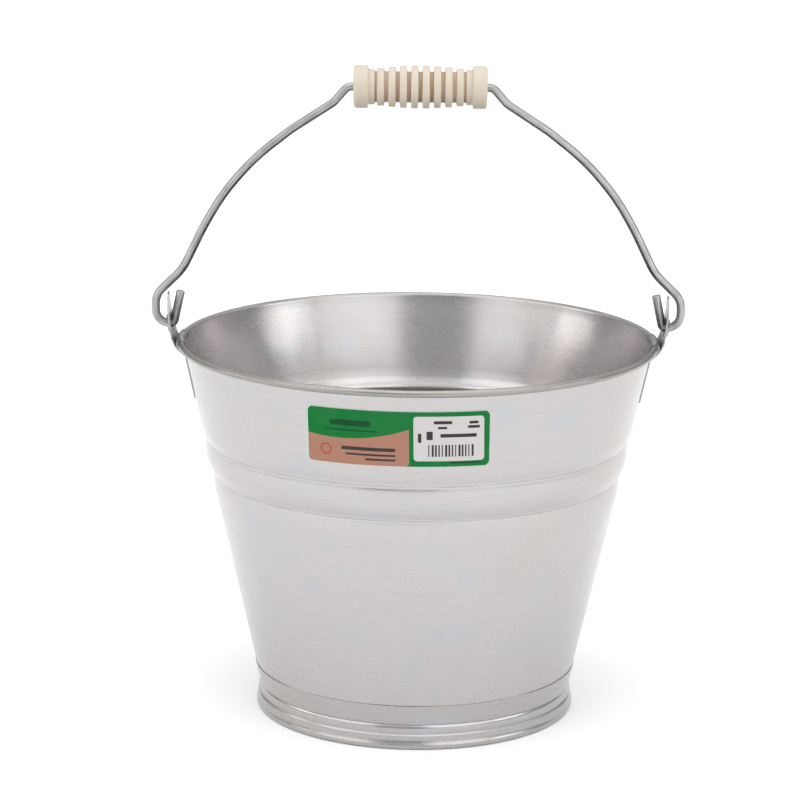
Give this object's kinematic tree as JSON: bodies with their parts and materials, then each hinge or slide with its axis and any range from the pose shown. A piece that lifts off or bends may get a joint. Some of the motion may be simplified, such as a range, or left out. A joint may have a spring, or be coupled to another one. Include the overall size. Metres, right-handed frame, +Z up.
{
  "type": "florist bucket",
  "caption": "Tapered galvanised steel bucket with a swaged band, foot ring, two sheet ears and a swinging wire bail with a ribbed plastic grip.",
  "frame": {"origin": "centre of the base, on the surface that the bucket stands on", "axes": "+Z up through the middle of the mouth, X through the two ears, the label faces -Y"},
  "size_m": [0.2772, 0.25, 0.3392],
  "materials": {
    "galvanised_sheet": "satin hot-dip galvanised sheet with a fine rolled grain",
    "galvanised_wire": "satin galvanised wire with drawing lines",
    "grip_plastic": "moulded ivory plastic, soft gloss",
    "label_print": "coated printed sticker, soft gloss"
  },
  "bodies": {
    "bucket": {"body_shell": "galvanised_sheet", "rim_wire": "galvanised_wire", "floor_pan": "galvanised_sheet", "foot_ring": "galvanised_sheet", "ear_left": "galvanised_sheet", "ear_right": "galvanised_sheet", "label": "label_print"},
    "bail": {"bail": "galvanised_wire"},
    "grip": {"grip": "grip_plastic"}
  },
  "joints": [
    {"name": "bail_swing", "type": "hinge", "parent": "bucket", "child": "bail", "pos_m": [0, 0, 0.2036], "axis": [1, 0, 0], "range_deg": [-87.5, 87.5]},
    {"name": "grip_spin", "type": "hinge", "parent": "bail", "child": "grip", "pos_m": [0, 0, 0.3281], "axis": [1, 0, 0], "continuous": true}
  ]
}
